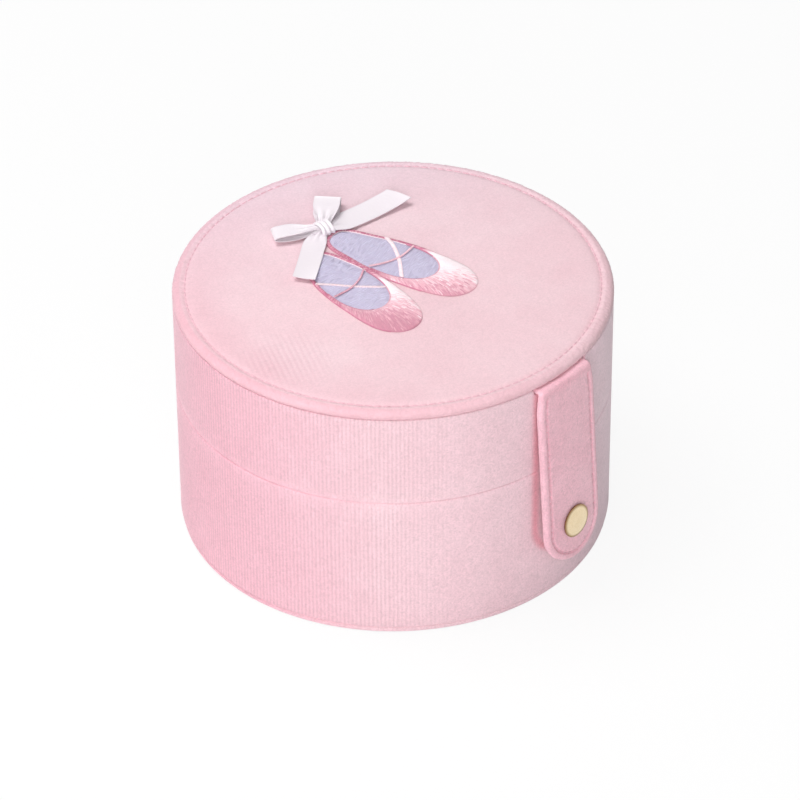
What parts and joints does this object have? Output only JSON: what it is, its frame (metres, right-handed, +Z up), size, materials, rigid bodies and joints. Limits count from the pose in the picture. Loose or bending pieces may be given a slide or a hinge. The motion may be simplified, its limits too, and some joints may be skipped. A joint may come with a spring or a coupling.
{
  "type": "jewellery case",
  "caption": "Round velvet jewellery case with a hinged lid, a snap strap, a mirror inside the lid and a lift-out ring tray",
  "frame": {"origin": "centre of the flat underside, where the case stands", "axes": "+Z up through the lid, -Y towards the snap strap at the front, +Y towards the hinge at the back, +X to the right seen from the front"},
  "size_m": [0.15, 0.1595, 0.0987],
  "materials": {
    "pink_velvet": "short-pile velvet, fine vertical ribs on the walls",
    "pale_suede": "matt microsuede",
    "greyboard": "raw greyboard",
    "foam": "thin foam padding",
    "pale_brass": "polished pale gold plating",
    "silvered_glass": "silvered glass",
    "white_satin": "satin ribbon",
    "lavender_thread": "satin-stitch embroidery",
    "rose_thread": "satin-stitch embroidery",
    "white_thread": "satin-stitch embroidery"
  },
  "bodies": {
    "base": {"foot_cover": "pink_velvet", "foot_board": "greyboard", "base_floor_board": "greyboard", "base_wall_board": "greyboard", "base_wall_velvet": "pink_velvet", "base_liner": "pale_suede", "base_floor_pad": "pale_suede", "tray_ledge": "pale_suede", "base_divider_long": "pale_suede", "base_divider_short": "pale_suede", "snap_stud": "pale_brass", "stud_rivet": "pale_brass", "hinge_patch_base": "pink_velvet", "hinge_strip_base": "pale_suede"},
    "tray": {"tray_floor": "pale_suede", "tray_wall": "pale_suede", "tray_divider_long": "pale_suede", "tray_dividers_short": "pale_suede", "ring_rolls": "pale_suede", "tray_pull_tabs": "white_satin"},
    "lid": {"lid_wall_board": "greyboard", "lid_wall_velvet": "pink_velvet", "lid_ceiling_board": "greyboard", "lid_liner": "pale_suede", "lid_headliner": "pale_suede", "mirror_glass": "silvered_glass", "mirror_frame": "pale_suede", "lid_disc_board": "greyboard", "lid_disc_foam": "foam", "lid_disc_cover": "pink_velvet", "hinge_patch_lid": "pink_velvet", "hinge_strip_lid": "pale_suede", "strap_tongue": "pink_velvet", "slipper_insoles": "lavender_thread", "slipper_uppers": "rose_thread", "slipper_lacing": "white_thread", "bow_tails": "white_satin", "bow_loops": "white_satin", "bow_knot": "white_satin"},
    "strap": {"strap_face": "pink_velvet", "strap_stiffener": "greyboard", "strap_lining": "pink_velvet", "snap_cap": "pale_brass", "snap_socket": "pale_brass", "snap_spring": "pale_brass"}
  },
  "joints": [
    {"name": "lid_hinge", "type": "hinge", "parent": "base", "child": "lid", "pos_m": [0, 0.0762, 0.0554], "axis": [-1, 0, 0], "range_deg": [0, 105]},
    {"name": "strap_flex", "type": "hinge", "parent": "lid", "child": "strap", "pos_m": [0, -0.0768, 0.0882], "axis": [-1, 0, 0], "range_deg": [0, 120]},
    {"name": "tray_lift", "type": "slide", "parent": "base", "child": "tray", "axis": [0, 0, 1], "range_m": [0, 0.027]}
  ]
}
